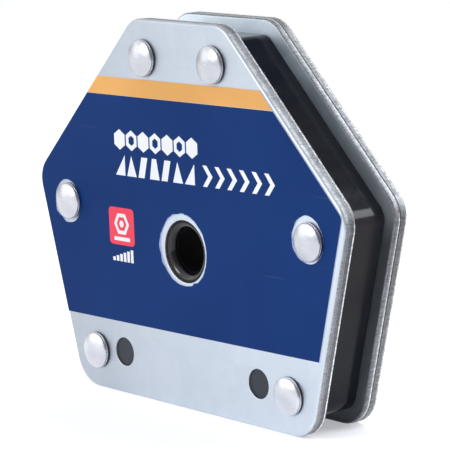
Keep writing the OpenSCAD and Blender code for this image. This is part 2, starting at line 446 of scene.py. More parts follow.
# ---------------------------------------------------------------- materials
def srgb(*levels):
    """Linear colour from 0-255 sRGB levels."""
    def linear(level):
        level /= 255
        return level / 12.92 if level <= 0.04045 else ((level + 0.055) / 1.055) ** 2.4
    return tuple(linear(level) for level in levels)


def zinc_face(name, dark, light, dull=0.0, painted_shading=None, across=(1.0, 1.0)):
    """Spangled, lightly scratched plating. dull adds roughness.

    The height stops scale the colour by height, and across scales it from left to right; both
    paint light and shade onto the plating.
    """
    mat = Surface(name)
    cloud = mat.noise(scale=38, detail=3, rough=0.55)
    fine = mat.noise(scale=420, rough=0.6, at=(3, 1, 2))
    spangle = mat.cells(scale=230)
    scratch_a = mat.noise(scale=900, detail=1, stretch=(0.05, 1, 1), turn=(0, 0.5, 0))
    scratch_b = mat.noise(scale=1100, detail=1, stretch=(1, 1, 0.04), turn=(0, -0.3, 0),
                          at=(5, 2, 1))
    tone = mat.maths("ADD", mat.remap(cloud, span=(0.3, 0.7), to=(0, 0.6)),
                     mat.remap(spangle, span=(0, 1), to=(0, 0.4)))
    colour = mat.mix(tone, dark, light)
    scratches = mat.maths("MAXIMUM", mat.remap(scratch_a, span=(0.70, 0.78)),
                          mat.remap(scratch_b, span=(0.71, 0.80)))
    colour = mat.mix(mat.maths("MULTIPLY", scratches, 0.35), colour, (0.50, 0.53, 0.58))
    if painted_shading:
        x, _, z = mat.axes()
        factor = mat.maths("MULTIPLY", mat.stops(z, painted_shading),
                           mat.remap(x, span=(-0.050, 0.050), to=across))
        # painted shade low down: the colour shifts once more, mostly darker at the left
        foot = mat.maths("MULTIPLY", mat.stops(z, ((-24, 1), (-12, 0))),
                         mat.stops(x, ((-42, -0.07), (-10, 0.01))))
        factor = mat.maths("MULTIPLY", factor, mat.maths("ADD", foot, 1.0))
        colour = mat.scaled(colour, factor)
    rough = mat.maths("ADD", mat.remap(cloud, span=(0.3, 0.7), to=(0.40 + dull, 0.48 + dull)),
                      mat.remap(fine, span=(0.3, 0.7), to=(-0.03, 0.03)))
    normal = mat.bump(fine, strength=0.06, distance=0.0002)
    normal = mat.bump(cloud, strength=0.10, distance=0.0006, over=normal)
    normal = mat.bump(scratches, strength=0.12, distance=0.0001, over=normal)
    return mat.finish(Base_Color=colour, Metallic=1.0, Roughness=rough, Normal=normal)


def zinc_edge(name, sheet_y, start, mid, end, turn_at):
    """Sheared sheet edge with drag lines across it.

    The colour runs from start at the front through mid, at turn_at of the thickness, to end, a
    ramp of painted light and shade across the edge.
    """
    mat = Surface(name)
    drag = mat.noise(scale=2400, rough=0.65, stretch=(1, 0.16, 1))
    grain = mat.noise(scale=2100, detail=3, rough=0.70, at=(9, 4, 2))
    patch = mat.noise(scale=300, detail=3, rough=0.6, at=(1, 0, 4))
    _, y, z = mat.axes()
    depth = mat.remap(y, span=(sheet_y[0] * MM, sheet_y[1] * MM))
    depth = mat.maths("ADD", depth, mat.remap(patch, span=(0.3, 0.7), to=(-0.14, 0.14)))
    depth = mat.maths("ADD", depth, mat.remap(drag, span=(0.3, 0.7), to=(-0.12, 0.12)))
    colour = mat.mix(mat.remap(depth, span=(0.05, turn_at), smooth=True), start, mid)
    colour = mat.mix(mat.remap(depth, span=(turn_at, 1.0), smooth=True), colour, end)
    tone = mat.maths("ADD", mat.maths("MULTIPLY", drag, 0.5), mat.maths("MULTIPLY", grain, 0.5))
    tone = mat.remap(tone, span=(0.38, 0.62), to=(0.66, 1.34))
    # painted shade: darker towards the bottom
    low_shade = mat.remap(z, span=(-0.038, -0.014), to=(0.80, 1.0), smooth=True)
    tone = mat.maths("MULTIPLY", tone, low_shade)
    normal = mat.bump(drag, strength=0.35, distance=0.00006)
    normal = mat.bump(grain, strength=0.35, distance=0.00006, over=normal)
    return mat.finish(Base_Color=mat.scaled(colour, tone), Metallic=1.0, Normal=normal,
                      Roughness=mat.remap(patch, span=(0.35, 0.65), to=(0.50, 0.64)))


def burr_metal():
    """The bright lip that shearing leaves on a back edge, broken by small nicks."""
    mat = Surface("burr")
    nick = mat.noise(scale=1500, rough=0.6)
    fine = mat.noise(scale=3000, rough=0.6, at=(2, 2, 5))
    colour = mat.mix(mat.remap(nick, span=(0.40, 0.58), smooth=True),
                     (0.55, 0.57, 0.60), (0.93, 0.94, 0.96))
    return mat.finish(Base_Color=colour, Metallic=1.0,
                      Roughness=mat.remap(nick, span=(0.35, 0.65), to=(0.42, 0.26)),
                      Normal=mat.bump(fine, strength=0.2, distance=0.00004))


def moulded(name, colour, rough, bump, tone, specular=None, painted_light=None, ring=None):
    """Moulded plastic with flow marks. tone is how much lighter its cloudy patches are.

    A painted-light dictionary gives a lighter colour laid on as painted light, its amount by
    height and by depth, and the specular level by height, which paints reflections weaker in
    places.
    ring gives the specular level by distance from the bore axis, a painted sheen.
    """
    mat = Surface(name)
    cloud = mat.noise(scale=45)
    fine = mat.noise(scale=700, rough=0.6, at=(2, 5, 1))
    flow = mat.noise(scale=160, stretch=(1, 0.15, 1), at=(0, 3, 7))
    light = tuple(min(1, level * tone) for level in colour)
    colour = mat.mix(mat.remap(cloud, span=(0.35, 0.65)), colour, light)
    # painted light: a lighter colour by height and depth, and the specular level by height
    if painted_light:
        _, y, z = mat.axes()
        amount = mat.maths("MULTIPLY", mat.stops(z, painted_light["by_height"]),
                           mat.stops(y, painted_light["by_depth"]))
        colour = mat.mix(amount, colour, painted_light["colour"])
        specular = mat.stops(z, painted_light["specular"])
    if ring:
        x, _, z = mat.axes()
        squares = mat.maths("ADD", mat.maths("MULTIPLY", x, x), mat.maths("MULTIPLY", z, z))
        specular = mat.stops(mat.maths("POWER", squares, 0.5), ring)
    roughness = mat.maths("ADD",
                          mat.remap(flow, span=(0.35, 0.65), to=(rough * 0.85, rough * 1.2)),
                          mat.remap(fine, span=(0.3, 0.7), to=(-0.02, 0.02)))
    normal = mat.bump(fine, strength=bump, distance=0.00004)
    normal = mat.bump(flow, strength=bump * 1.2, distance=0.0002, over=normal)
    return mat.finish(Base_Color=colour, Roughness=roughness, Normal=normal,
                      Specular_IOR_Level=specular)


def rivet_metal():
    """Smooth bright metal with scuffs, with painted light making it a little lighter low down."""
    mat = Surface("rivet_metal")
    cloud = mat.noise(scale=190)
    fine = mat.noise(scale=1300, rough=0.6, at=(4, 4, 4))
    scuff = mat.noise(scale=520, rough=0.6, stretch=(1, 1, 0.25), turn=(0, 0.6, 0))
    scuff = mat.remap(scuff, span=(0.62, 0.74), smooth=True)
    colour = mat.mix(mat.remap(cloud, span=(0.35, 0.65)),
                     (0.575, 0.590, 0.640), (0.650, 0.665, 0.715))
    colour = mat.mix(mat.maths("MULTIPLY", scuff, 0.25), colour, (0.62, 0.63, 0.66))
    # painted light: lighter low down, a little darker high up
    by_height = mat.stops(mat.axes()[2], ((-28, 1.11), (8, 1.0), (46, 0.95)))
    rough = mat.maths("ADD", mat.remap(cloud, span=(0.35, 0.65), to=(0.24, 0.31)),
                      mat.maths("MULTIPLY", scuff, 0.12))
    normal = mat.bump(fine, strength=0.05, distance=0.00004)
    normal = mat.bump(cloud, strength=0.12, distance=0.0003, over=normal)
    normal = mat.bump(scuff, strength=0.10, distance=0.00005, over=normal)
    return mat.finish(Base_Color=mat.scaled(colour, by_height), Metallic=1.0, Roughness=rough,
                      Normal=normal)


def ferrite():
    """Dark, grainy magnet ceramic."""
    mat = Surface("ferrite")
    grain = mat.noise(scale=1500, detail=3, rough=0.7)
    cloud = mat.noise(scale=120)
    colour = mat.mix(mat.remap(grain, span=(0.3, 0.7)),
                     (0.028, 0.028, 0.031), (0.06, 0.06, 0.066))
    return mat.finish(Base_Color=colour,
                      Roughness=mat.remap(cloud, span=(0.3, 0.7), to=(0.5, 0.72)),
                      Normal=mat.bump(grain, strength=0.3, distance=0.00008))


def printed(name, colour, specular=0.25):
    """Ink on film, with faint clouds and scuffs."""
    mat = Surface(name)
    cloud = mat.noise(scale=30)
    fine = mat.noise(scale=1600, rough=0.6)
    scuff = mat.noise(scale=700, detail=1, stretch=(0.05, 1, 1), turn=(0, 0.35, 0))
    scuff = mat.remap(scuff, span=(0.72, 0.80))
    light = tuple(min(1, level * 1.07 + 0.002) for level in colour)
    dark = tuple(level * 0.95 for level in colour)
    colour = mat.mix(mat.remap(cloud, span=(0.35, 0.65)), dark, light)
    colour = mat.mix(mat.maths("MULTIPLY", scuff, 0.035), colour, (0.6, 0.62, 0.66))
    rough = mat.maths("ADD", mat.remap(cloud, span=(0.3, 0.7), to=(0.43, 0.50)),
                      mat.remap(fine, span=(0.3, 0.7), to=(-0.02, 0.02)))
    normal = mat.bump(fine, strength=0.04, distance=0.00003)
    normal = mat.bump(cloud, strength=0.06, distance=0.0004, over=normal)
    return mat.finish(Base_Color=colour, Roughness=rough, Normal=normal,
                      Specular_IOR_Level=specular)


# painted light and shade on the outer faces: darker towards the top and at the left, lighter at
# the right
plated = zinc_face("zinc_face", dark=(0.565, 0.630, 0.710), light=(0.630, 0.690, 0.765),
                   painted_shading=((-20, 0.95), (12, 0.98), (54, 0.84)), across=(0.88, 1.11))
burr = burr_metal()
# painted shade and light on the inner faces between the sheets: nearly black at the bottom,
# brighter than plain plating near the top
plated_inner = zinc_face("zinc_inner", dark=(0.54, 0.610, 0.668), light=(0.66, 0.718, 0.777),
                         dull=0.12,
                         painted_shading=((-41.5, 0.10), (-38, 0.24), (-32, 0.48), (-20, 0.45), (6, 0.44),
                               (16, 0.82), (40, 1.12), (47, 1.42), (54, 1.25)))
# painted light on the core's sides: a lighter colour in a band by height, less of it towards the
# rear sheet, which leaves painted shade there; the specular levels paint the reflections weaker
# low down and high up
CORE_PAINTED_LIGHT = {
    "colour": (0.040, 0.0365, 0.042),
    "by_height": ((-38, 0), (-24, 0.03), (-9, 0.40), (3, 0.95), (11, 0.95), (17, 0)),
    "by_depth": ((1, 1), (6, 0.35)),
    "specular": ((-38, 0.12), (-22, 0.24), (-12, 0.27), (18, 0.27), (30, 0.22), (50, 0.12)),
}
core_plastic = moulded("core_plastic", colour=(0.0055, 0.0075, 0.0133), rough=0.15, bump=0.04,
                       tone=1.2, painted_light=CORE_PAINTED_LIGHT)
peg_plastic = moulded("peg_end_plastic", colour=(0.018, 0.025, 0.039), rough=0.42, bump=0.05,
                      tone=1.15, specular=0.36)
# painted sheen: the lip's specular level, by distance from the axis, peaks half way down and is
# low at its outer edge and inside, which paints shade there
BUSH_PAINTED_SHEEN = ((5.6, 0.10), (6.2, 0.40), (6.6, 0.60), (7.1, 0.56), (7.5, 0.18), (8.0, 0.06))
bush_plastic = moulded("bush_plastic", colour=(0.0060, 0.0060, 0.0080), rough=0.10, bump=0.05,
                       tone=1.15, ring=BUSH_PAINTED_SHEEN)
bush_crest = moulded("bush_crest_plastic", colour=(0.0060, 0.0060, 0.0075), rough=0.34,
                     bump=0.05, tone=1.15, ring=BUSH_PAINTED_SHEEN)
# painted shade deep in the bore: the bore wall is darker and duller than the rest of the core
bore_plastic = moulded("bore_wall_plastic", colour=(0.0035, 0.0037, 0.0040), rough=0.55,
                       bump=0.05, tone=1.2, specular=0.12)
rivet_bright = rivet_metal()
# painted shade under the rivet heads: a dark plating for the groove, the rim's foot and the neck,
# and a lighter one for the left side rivet
rivet_painted_shade = zinc_face("rivet_painted_shade", dark=(0.10, 0.10, 0.11), light=(0.16, 0.16, 0.175),
                         dull=0.1)
rivet_shade_soft = zinc_face("rivet_painted_shade_soft", dark=(0.36, 0.37, 0.40),
                          light=(0.44, 0.45, 0.48), dull=0.1)
# painted shade for the seam where the rear sheets meet: a dark plating on the rear cover's front
# rounding
seam_shade = zinc_face("seam_painted_shade", dark=(0.07, 0.07, 0.075), light=(0.12, 0.12, 0.13), dull=0.15)
magnet_ferrite = ferrite()
# the film's material slots
BLUE, ORANGE, WHITE, RED, PALE, FILM_EDGE, FRAYED = range(7)
INKS = [
    printed("print_blue", (0.0032, 0.0315, 0.154), specular=0.06),
    printed("print_orange", (0.738, 0.390, 0.125), specular=0.08),
    printed("print_white", srgb(232, 236, 243)),
    printed("print_red", srgb(240, 76, 97), specular=0.08),
    printed("print_pale", srgb(214, 200, 186), specular=0.08),
    printed("film_edge", srgb(205, 214, 232)),
    printed("print_frayed", srgb(140, 164, 208), specular=0.08),
]

# ---------------------------------------------------------------- sheets
# the last sheet slot holds the painted seam shade
PLATED, SHEARED, INNER, BURR, SEAM_SHADE = range(5)    # the sheets' material slots
BREAK_STEP = 0.05    # how far the back part of the sheared edge lies in from the front part
# the lip along the back edge: inset, distance before the back face, normal across and along Y
BURR_PROFILE = [
    (BREAK_STEP, 0.46, 1, -0.05), (BREAK_STEP - 0.02, 0.38, 0.90, -0.42),
    (0.0, 0.26, 0.80, -0.60), (-0.01, 0.13, 0.84, -0.54),
    (0.02, 0.05, 0.95, 0.30), (0.12, 0.0, 0.30, 0.95),
]
# x, z, radius, points round, (inset, depth) of the front rounding
SHEET_HOLES = [(0.0, 0.0, BUSH_HOLE_R, 96, (0.22, 0.22 * 0.8))]
SHEET_HOLES += [(x, z, RIVET_HOLE_R, 40, (0.12, 0.12 * 0.8)) for x, z in RIVET_PLACES.values()]
SHEET_HOLES += [(side * PEG_X, PEG_Z, PEG_HOLE_R, 64, (0.22, 0.22 * 0.8)) for side in (-1, 1)]
HOLE_BACK_ROLL = (0.12, 0.12)
sheet_points, sheet_normals = rounded_outline(CORNERS, SHEET_RADII)


def sheet(name, sheet_y, edge, front_roll, back_roll, lead, faces=(PLATED, PLATED),
          has_burr=True, shrink=0.0, shift=(0, 0)):
    """One steel sheet. The rolls are the (inset, depth) of the rounding at each face.

    lead is the slot of the front rounding and how many bands carry it; faces are the slots of
    the front and back faces.
    """
    mesh = MeshBuilder()
    front_y, back_y = sheet_y
    lead_slot, lead_bands = lead

    def skin(rings, flip, burr_bands=0):
        count = len(rings) - 1
        slots = [lead_slot if k < lead_bands else SHEARED for k in range(count - burr_bands)]
        mesh.skin(rings, slots + [BURR] * burr_bands, flip)
        fronts.append(rings[0])
        backs.append(rings[-1])

    fronts, backs = [], []
    points = sheet_points - sheet_normals * shrink + np.array(shift)
    rings = mesh.rounding(points, sheet_normals, front_y, front_roll, 8)
    # the shear band gives way to a slightly recessed break band
    wall = back_y - back_roll[1] - front_y - front_roll[1]
    middle = front_y + front_roll[1] + wall * 0.55
    rings.append(mesh.ring(points, middle - 0.05, sheet_normals, (1, 0)))
    rings.append(mesh.ring(points - sheet_normals * BREAK_STEP, middle + 0.05,
                           sheet_normals, (1, 0)))
    if has_burr:
        rings += [mesh.ring(points - sheet_normals * inward, back_y - before, sheet_normals,
                            (across, along))
                  for inward, before, across, along in BURR_PROFILE]
    else:
        rings += mesh.rounding(points, sheet_normals, back_y, back_roll, 4, back=True,
                               recess=BREAK_STEP)
    skin(rings, True, len(BURR_PROFILE) - 1 if has_burr else 0)
    for x, z, radius, count, roll in SHEET_HOLES:
        points, normals = circle(x, z, radius, count)
        rings = mesh.rounding(points, -normals, front_y, roll, 8)
        rings += mesh.rounding(points, -normals, back_y, HOLE_BACK_ROLL, 4, back=True)
        skin(rings, False)
    mesh.fill(fronts, True, faces[0])
    mesh.fill(backs, False, faces[1])
    mesh.build(name, [plated, edge, plated_inner, burr, seam_shade])


# painted light and shade on the sheets' edges: each ramp sets which part of the thickness shows
# light and which shows dark
front_cover_edge = zinc_edge("edge_front_cover", FRONT_COVER, start=(0.58, 0.59, 0.62),
                             mid=(0.48, 0.49, 0.52), end=(0.34, 0.35, 0.375), turn_at=0.6)
front_pole_edge = zinc_edge("edge_front_pole", FRONT_POLE, start=(0.29, 0.30, 0.325),
                            mid=(0.23, 0.24, 0.265), end=(0.38, 0.39, 0.42), turn_at=0.7)
rear_pole_edge = zinc_edge("edge_rear_pole", REAR_POLE, start=(0.26, 0.275, 0.30),
                           mid=(0.38, 0.39, 0.415), end=(0.62, 0.63, 0.66), turn_at=0.5)
rear_cover_edge = zinc_edge("edge_rear_cover", REAR_COVER, start=(0.35, 0.36, 0.38),
                            mid=(0.335, 0.345, 0.365), end=(0.62, 0.63, 0.65), turn_at=0.55)
sheet("front_cover_plate", FRONT_COVER, front_cover_edge, front_roll=(0.75, 0.70),
      back_roll=(0.05, 0.05), lead=(PLATED, 6), has_burr=False)
sheet("front_pole_plate", FRONT_POLE, front_pole_edge, front_roll=(0.06, 0.06),
      back_roll=(0.32, 0.30), lead=(PLATED, 5), faces=(PLATED, INNER),
      shrink=0.03, shift=(0.02, -0.02))
sheet("rear_pole_plate", REAR_POLE, rear_pole_edge, front_roll=(0.55, 0.45),
      back_roll=(0.26, 0.28), lead=(INNER, 2), faces=(INNER, PLATED),
      shrink=0.05, shift=(-0.02, 0.02))
# the rear cover's front rounding carries the painted seam shade
sheet("rear_cover_plate", REAR_COVER, rear_cover_edge, front_roll=(0.20, 0.24),
      back_roll=(0.34, 0.32), lead=(SEAM_SHADE, 7))

# ---------------------------------------------------------------- printed film
FILM_Y = depths("front_label")
# from the sheet's sharp outline: lower right, upper right, top, upper left, lower left, bottom
FILM_INSETS = [1.45, 0.95, 0.0, 0.35, 0.35, 0.0]
FILM_RADII = [1.5, 2.2, 1.5, 1.5, 7.1, 1.5]    # same corner order as CORNERS
SLOPE = np.tan(math.radians(0.7))              # the film is laid slightly askew
FILM_LOW, FILM_HIGH = BOTTOM + 19.65, BOTTOM + 84.65
# a thin pale line parts the blue field from the orange stripe above it
LINE_MIDDLE, LINE_HALF = BOTTOM + 79.93, 0.06
LINE_LOW, LINE_HIGH = LINE_MIDDLE - LINE_HALF, LINE_MIDDLE + LINE_HALF
MARK_HEIGHT = 5.4


def level(points):
    """Heights measured square to the skewed film's lines."""
    return points[:, 1] - SLOPE * points[:, 0]


def skewed(points):
    points[:, 1] += SLOPE * points[:, 0]
    return points


def crossing(start, end, start_off, end_off):
    return start + (end - start) * start_off / (start_off - end_off)


def clip_between(points, low, high):
    """The part of a convex outline between two slanted lines, keeping the crossings."""
    for sign, limit in ((1, low), (-1, high)):
        off = sign * (level(points) - limit)
        kept = []
        for i, j in closed_edges(0, len(points)):
            if off[i] >= 0:
                kept.append(points[i])
            if (off[i] >= 0) != (off[j] >= 0):
                kept.append(crossing(points[i], points[j], off[i], off[j]))
        points = np.array(kept)
    return points


def dense(outline, step):
    points = []
    for i, j in closed_edges(0, len(outline)):
        start, end = outline[i], outline[j]
        count = max(int(np.linalg.norm(end - start) / step), 1)
        points += [start + (end - start) * k / count for k in range(count)]
    return np.array(points)


def with_crossings(points, height):
    """The same outline with a point added wherever it crosses a slanted line."""
    off = level(points) - height
    split = []
    for i, j in closed_edges(0, len(points)):
        split.append(points[i])
        if off[i] * off[j] < 0:
            split.append(crossing(points[i], points[j], off[i], off[j]))
    return np.array(split)


def normals_of(points):
    along = np.roll(points, -1, 0) - np.roll(points, 1, 0)
    along /= np.linalg.norm(along, axis=1)[:, None]
    return np.stack([along[:, 1], -along[:, 0]], 1)


def wobbly(x, z, radii, count, amount, seed, bumps):
    """An unevenly cut round opening; bumps are (angle in degrees, height, width in degrees)."""
    random = np.random.default_rng(seed)
    angles = angles_round(count)
    extra = np.zeros(count)
    for k in (2, 3, 4, 5, 7, 9):
        extra += amount / k * random.normal() * np.cos(k * angles + random.uniform(0, 6.28))
    for angle, height, width in bumps:
        away = (np.degrees(angles) - angle + 180) % 360 - 180
        extra += height * np.exp(-(away / width) ** 2)
    return np.array([x, z]) + (np.array(radii) + extra[:, None]) * directions(angles)


def hexagon(x, z, radius, turn=0.0):
    return np.array([x, z]) + radius * directions(turn + angles_round(6))


# marks in a unit cell, x to the right and z up; the first shape is white, a second is blue
CELL_HEXAGON = hexagon(0.5, 0.5, 0.5, math.pi / 6)
CELL_HEXAGON[:, 0] = 0.5 + (CELL_HEXAGON[:, 0] - 0.5) / 0.866
MARKS = {
    "hex": [CELL_HEXAGON],
    "ring": [CELL_HEXAGON, 0.5 + (CELL_HEXAGON - 0.5) * 0.50],
    "wedge": [[(0, 0), (1, 0), (1, 1)]],
    "peak": [[(0, 0), (1, 0), (0.5, 1)]],
    "slope": [[(0, 0), (0.62, 0), (1, 1), (0.38, 1)]],
    "trap": [[(0, 0), (1, 0), (0.72, 1), (0.28, 1)]],
    "block": [[(0, 0), (1, 0), (1, 1), (0, 1)]],
    "chevron": [[(0, 0), (0.42, 0), (1, 0.5), (0.42, 1), (0, 1), (0.56, 0.5)]],
}
# marks, left and right ends, height of the foot above BOTTOM, gap between marks
MARK_ROWS = [
    (["hex", "ring"] * 3 + ["hex"], -27.1, 6.9, 65.7, 0.50),
    (["wedge", "peak", "slope", "trap", "slope", "peak", "wedge"], -27.0, 5.4, 59.0, 0.75),
    (["chevron"] * 6, 8.6, 36.1, 59.0, 0.85),
]
# red tile: corners with heights above BOTTOM, and its middle
TILE = [(-30.9, 40.4), (-20.4, 40.4), (-20.4, 50.3), (-30.9, 50.3)]
TILE_RADIUS = 1.2
TILE_X, TILE_Z = -25.65, BOTTOM + 46.0
# openings over the bore and at the left and right side rivets
CUTS = [
    wobbly(-0.38, 0.36, radii=(9.16, 9.22), count=128, amount=0.06, seed=3,
           bumps=((296, -0.40, 5),)),
    wobbly(-48.6, BOTTOM + 49.4, radii=(5.42, 5.75), count=96, amount=0.06, seed=5,
           bumps=((208, 0.40, 9), (236, -0.42, 11))),
    wobbly(47.35, BOTTOM + 50.0, radii=(5.60, 5.75), count=96, amount=0.07, seed=8,
           bumps=((170, 0.12, 14),)),
]
FRAY_SIZES = (1.0, 0.45, 0.6)


def mark(kind, x, z, width, height):
    """A mark as (outline, ink) pairs."""
    shapes = []
    for shape, ink in zip(MARKS[kind], (WHITE, BLUE)):
        shape = np.array(shape, float)
        placed = np.stack([x + shape[:, 0] * width, z + shape[:, 1] * height], 1)
        shapes.append((skewed(placed), ink))
    return shapes


def mark_row(kinds, left, right, foot, gap):
    width = (right - left - gap * (len(kinds) - 1)) / len(kinds)
    shapes = []
    for i, kind in enumerate(kinds):
        shapes += mark(kind, left + i * (width + gap), BOTTOM + foot, width, MARK_HEIGHT)
    return shapes


def red_tile():
    """A rounded tile with a ringed hexagon over a bar, and a rising row of steps beneath it."""
    outline, _ = rounded_outline([(x, z + BOTTOM) for x, z in TILE], [TILE_RADIUS] * 4, 6, 3)
    shapes = [(skewed(outline), RED)]
    for radius, ink in ((3.15, WHITE), (2.05, RED), (1.0, WHITE)):
        shapes.append((skewed(hexagon(TILE_X, TILE_Z, radius)), ink))
    shapes += mark("block", TILE_X - 3.3, BOTTOM + 41.5, width=6.6, height=1.0)
    for i in range(6):
        shapes += mark("block", -29.9 + i * 1.52, BOTTOM + 36.0, width=1.1,
                       height=1.0 + 0.48 * i)
    return shapes


def frayed_rims():
    """Uneven lighter rims where the film is torn round its openings."""
    random = np.random.default_rng(41)
    shapes = []
    for cut, size in zip(CUTS, FRAY_SIZES):
        normals = normals_of(cut)
        ragged = np.convolve(random.normal(0, 1, len(cut) + 4), np.ones(5) / 2.2, "valid")
        width = size * (0.20 + 0.16 * ragged - 0.12 * normals[:, 0])
        shapes.append((cut + normals * np.clip(width, 0.03, 0.62)[:, None], FRAYED))
    return shapes


def printed_film():
    prints = frayed_rims()    # where prints overlap, the later one wins
    for row in MARK_ROWS:
        prints += mark_row(*row)
    prints += red_tile()
    outline, _ = rounded_outline(inset(CORNERS, FILM_INSETS), FILM_RADII, 12, 2.5)
    outline = dense(clip_between(dense(outline, 2.2), FILM_LOW, FILM_HIGH), 2.5)
    for height in (LINE_LOW, LINE_HIGH):
        outline = with_crossings(outline, height)

    film = MeshBuilder()
    fronts, backs = [], []
    for points, sign in [(outline, 1)] + [(cut, -1) for cut in CUTS]:
        facing = normals_of(points) * sign
        rings = [film.ring(points - facing * 0.04, FILM_Y[0], facing, (0.0, -1)),
                 film.ring(points, FILM_Y[0] + 0.04, facing, (1, -0.25)),
                 film.ring(points, FILM_Y[1], facing, (1, 0))]
        film.skin(rings, [FILM_EDGE] * 2, sign > 0)
        fronts.append(rings[0])
        backs.append(rings[-1])

    def ink_at(centres):
        inks = np.full(len(centres), BLUE)
        inks[level(centres) > LINE_LOW] = PALE
        inks[level(centres) > LINE_HIGH] = ORANGE
        for shape, ink in prints:
            inks[inside(centres, shape)] = ink
        return inks

    def line_ends(height):
        """The outline's left and right points nearest a slanted line."""
        off = np.abs(level(outline) - height)
        return [film.flat(fronts[0])[np.argmin(off + (side * outline[:, 0] < 0) * 99)]
                for side in (-1, 1)]

    film.fill(fronts, True, borders=[shape for shape, _ in prints],
              segments=[line_ends(LINE_LOW), line_ends(LINE_HIGH)], region=ink_at)
    film.fill(backs, False, FILM_EDGE)
    film.build("front_label", INKS)


printed_film()


# ---------------------------------------------------------------- turned parts
def turned(name, x, z, profile, materials, count, wobble=0.0, seed=0):
    """Closed solid of revolution about the Y direction.

    Profile rows are radius, y, normal outwards, normal along Y, slot of the band after the row.
    The first and last rows lie on the axis, or for a hollow ring the last joins the first.
    """
    mesh = MeshBuilder()
    random = np.random.default_rng(seed)
    angles = angles_round(count)
    spokes = directions(angles)
    phases = random.uniform(0, 6.28, 4)
    sizes = random.normal(0, 1, 4)
    uneven = sum(sizes[k] / (k + 1) * np.cos((k + 2) * angles + phases[k])
                 for k in range(4)) * wobble
    rings = []
    for radius, y, across, along, _ in profile:
        if radius < 1e-6:
            rings.append(None)
            continue
        points = np.array([x, z]) + (radius + uneven[:, None] * min(1, radius / 3)) * spokes
        rings.append(mesh.ring(points, y, spokes, (across, along)))
    for i in range(len(profile) - 1):
        band_slot = profile[i][4]
        if rings[i] is None:
            mesh.fan(rings[i + 1], (x, z), profile[i][1], profile[i][3], band_slot)
        elif rings[i + 1] is None:
            mesh.fan(rings[i], (x, z), profile[i + 1][1], profile[i + 1][3], band_slot)
        else:
            mesh.bridge(rings[i], rings[i + 1], band_slot, True)
    if rings[0] is not None:
        mesh.bridge(rings[-1], rings[0], profile[-1][4], True)
    mesh.build(name, materials)


# the second slot holds painted shade
BRIGHT, RECESS = range(2)    # the rivets' material slots
DOME_R, RIM_R, SHANK_R = 4.80, 4.86, 2.5
HEAD_HEIGHT, DOME_EDGE, RIM_TOP, RIM_FOOT = 2.35, 0.90, 0.80, 0.30    # in front of the sheets
SHOULDER = 0.30                                  # width and depth left for the dome's shoulder
ROLL_MIDDLE_R, ROLL_MIDDLE_Y, ROLL_R = 2.65, 0.35, 1.15    # the rolled end behind the sheets


def rivet_profile():
    """Domed head, stepped rim, shank, rolled end and the end's hole, from front to back."""
    top, edge = FRONT - HEAD_HEIGHT, FRONT - DOME_EDGE
    rim_top, rim_foot = FRONT - RIM_TOP, FRONT - RIM_FOOT
    cap = edge - SHOULDER - top
    sphere = (DOME_R * DOME_R + cap * cap) / (2 * cap)
    # a shallow dimple in the middle of the dome
    rows = [(0.0, top + 0.05, 0, -1, BRIGHT), (0.35, top + 0.045, 0.10, -1, BRIGHT),
            (0.60, top + 0.012, 0.20, -1, BRIGHT), (0.80, top + 0.004, -0.04, -1, BRIGHT)]
    widest = math.asin((DOME_R - SHOULDER) / sphere)
    for k in range(1, 17):
        angle = widest * k / 16
        radius = sphere * math.sin(angle)
        if radius > 0.95:
            rows.append((radius, top + sphere * (1 - math.cos(angle)),
                         math.sin(angle), -math.cos(angle), BRIGHT))
    start_r, start_y = rows[-1][:2]
    for k in range(1, 7):    # shoulder of the dome
        angle = widest + (math.pi / 2 - widest) * k / 6
        out = (math.sin(angle) - math.sin(widest)) / (1 - math.sin(widest))
        rows.append((start_r + (DOME_R - start_r) * out,
                     start_y + (edge - start_y) * (math.cos(widest) - math.cos(angle))
                     / math.cos(widest), math.sin(angle), -math.cos(angle), BRIGHT))
    rows += [
        # a fine groove between the dome and the rim
        (DOME_R - 0.02, edge + 0.03, 0.8, 0.6, RECESS),
        (DOME_R - 0.07, edge + 0.06, 0.2, 1.0, RECESS),
        (DOME_R - 0.07, rim_top - 0.02, 0.6, -0.8, RECESS),
        # the rim
        (DOME_R + 0.01, rim_top, 0.1, -1, BRIGHT),
        (RIM_R - 0.05, rim_top + 0.02, 0.3, -0.95, BRIGHT),
        (RIM_R - 0.01, rim_top + 0.08, 0.85, -0.5, BRIGHT),
        (RIM_R, rim_top + 0.16, 1, 0, BRIGHT),
        (RIM_R, rim_foot - 0.14, 1, 0.05, RECESS),
        (RIM_R - 0.06, rim_foot - 0.02, 0.7, 0.7, RECESS),
        (RIM_R - 0.18, rim_foot + 0.02, 0.1, 1, RECESS),
        # the neck under the rim
        (RIM_R - 0.50, rim_foot + 0.06, 0, 1, RECESS),
        (RIM_R - 0.56, FRONT - 0.06, 1, 0.3, RECESS),
        (RIM_R - 0.62, FRONT, 0, 1, RECESS),
        (SHANK_R + 0.06, FRONT, 0, 1, RECESS),
        # the shank
        (SHANK_R, FRONT + 0.05, 1, 0, BRIGHT),
        (SHANK_R, REAR - 0.05, 1, 0, BRIGHT),
        (SHANK_R + 0.06, REAR, 0, -1, BRIGHT),
        (2.95, REAR, 0, -1, BRIGHT),
    ]
    for k in range(17):      # the rolled end
        angle = math.radians(-18 + (150 + 18) * k / 16)
        rows.append((ROLL_MIDDLE_R + ROLL_R * math.cos(angle),
                     REAR + ROLL_MIDDLE_Y + ROLL_R * math.sin(angle),
                     math.cos(angle), math.sin(angle), BRIGHT))
    rows += [
        # the hole in the rolled end
        (1.40, REAR + 0.75, -1, 0, BRIGHT), (1.36, REAR + 0.2, -1, 0, BRIGHT),
        (1.30, REAR + 0.02, -0.7, 0.7, BRIGHT), (0.6, REAR, 0, 1, BRIGHT),
        (0.0, REAR, 0, 1, BRIGHT),
    ]
    return rows


